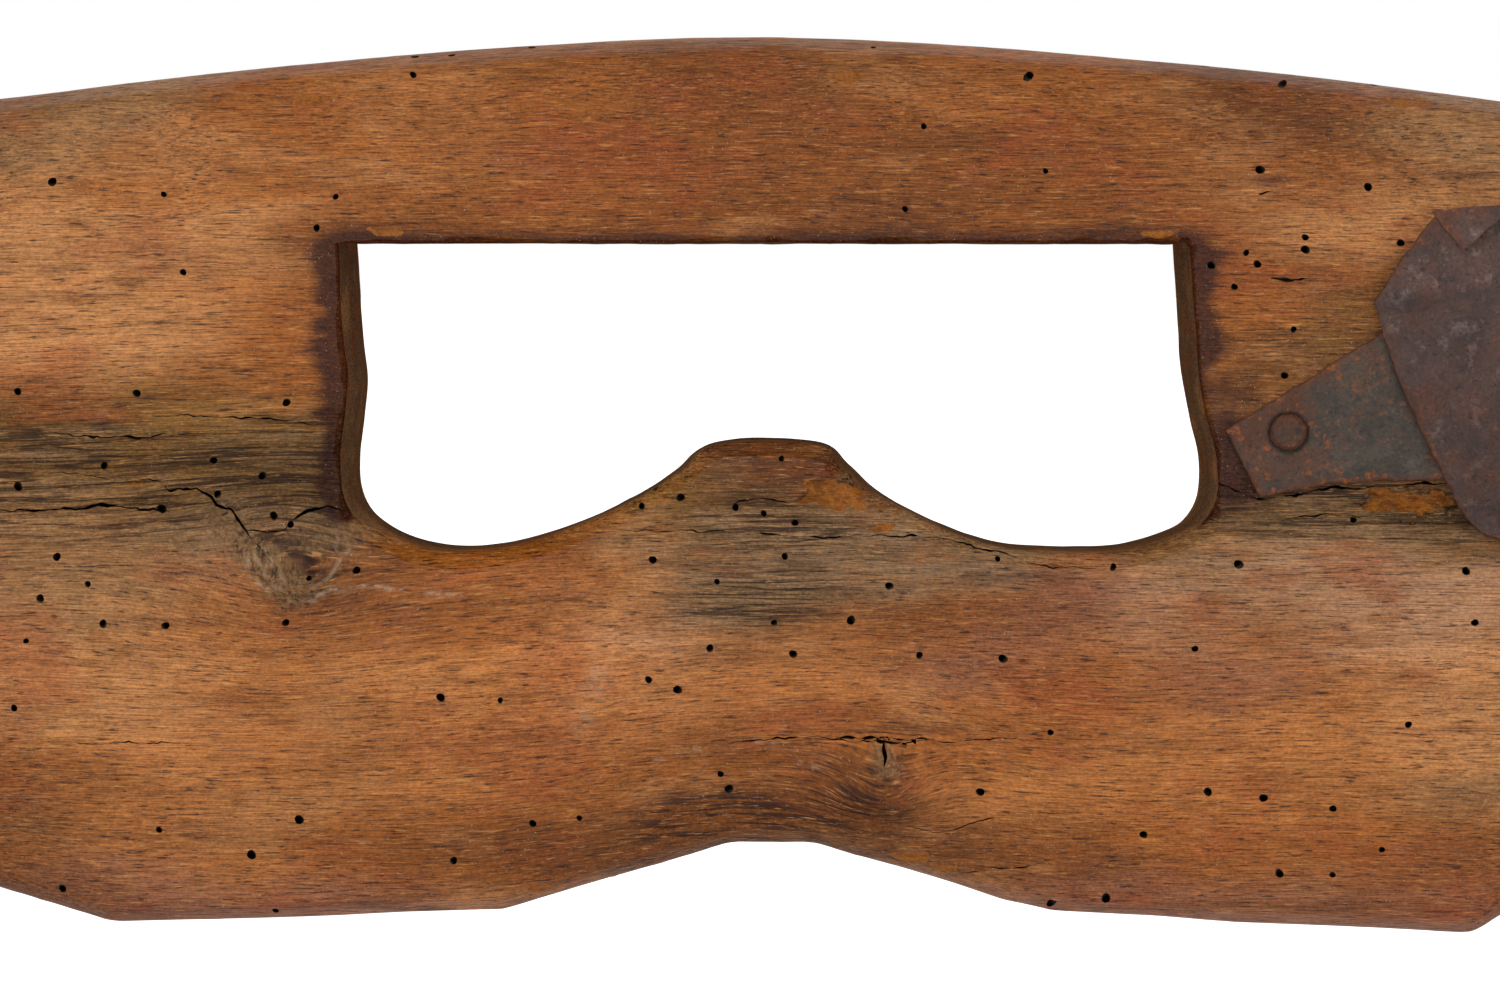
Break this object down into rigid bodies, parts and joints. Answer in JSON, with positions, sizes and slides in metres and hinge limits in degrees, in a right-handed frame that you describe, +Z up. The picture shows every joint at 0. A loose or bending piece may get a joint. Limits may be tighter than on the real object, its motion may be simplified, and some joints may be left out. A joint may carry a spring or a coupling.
{
  "type": "ox yoke",
  "caption": "Wooden yoke for a pair of oxen: a hewn beam with a central window and pole notch, bent neck bows that slide and are held by keys, and an iron repair.",
  "frame": {"origin": "middle of the underside of the window's top bar, at mid depth, where a peg carries the yoke", "axes": "+X along the beam to its right end as seen from the front, -Y out of the front face, +Z up as worn"},
  "size_m": [1.12, 0.135, 0.55],
  "materials": {
    "beam_wood": "hand-hewn hardwood, worn smooth, orange-brown, with cracks, woodworm holes and grey weathered patches",
    "bow_wood": "steam-bent ash, handled and darkened",
    "key_wood": "split oak, knife-cut",
    "rusted_iron": "hammered sheet iron, dark brown with orange rust"
  },
  "bodies": {
    "beam": {"yoke_beam": "beam_wood", "front_mending_plate": "rusted_iron", "back_mending_plate": "rusted_iron", "cover_plate": "rusted_iron", "rivet_inner": "rusted_iron", "rivet_outer_upper": "rusted_iron", "rivet_outer_lower": "rusted_iron", "cover_nail_1": "rusted_iron", "cover_nail_2": "rusted_iron", "cover_nail_3": "rusted_iron", "cover_nail_4": "rusted_iron"},
    "left_bow": {"bow_left": "bow_wood"},
    "right_bow": {"bow_right": "bow_wood"},
    "left_outer_key": {"key_left_outer": "key_wood"},
    "left_inner_key": {"key_left_inner": "key_wood"},
    "right_inner_key": {"key_right_inner": "key_wood"},
    "right_outer_key": {"key_right_outer": "key_wood"}
  },
  "joints": [
    {"name": "left_bow_lift", "type": "slide", "parent": "beam", "child": "left_bow", "axis": [0, 0, 1], "range_m": [0, 0.05]},
    {"name": "right_bow_lift", "type": "slide", "parent": "beam", "child": "right_bow", "axis": [0, 0, 1], "range_m": [0, 0.05]},
    {"name": "left_outer_key_draw", "type": "slide", "parent": "left_bow", "child": "left_outer_key", "axis": [0, -1, 0], "range_m": [0, 0.07]},
    {"name": "left_inner_key_draw", "type": "slide", "parent": "left_bow", "child": "left_inner_key", "axis": [0, -1, 0], "range_m": [0, 0.07]},
    {"name": "right_inner_key_draw", "type": "slide", "parent": "right_bow", "child": "right_inner_key", "axis": [0, -1, 0], "range_m": [0, 0.07]},
    {"name": "right_outer_key_draw", "type": "slide", "parent": "right_bow", "child": "right_outer_key", "axis": [0, -1, 0], "range_m": [0, 0.07]}
  ]
}
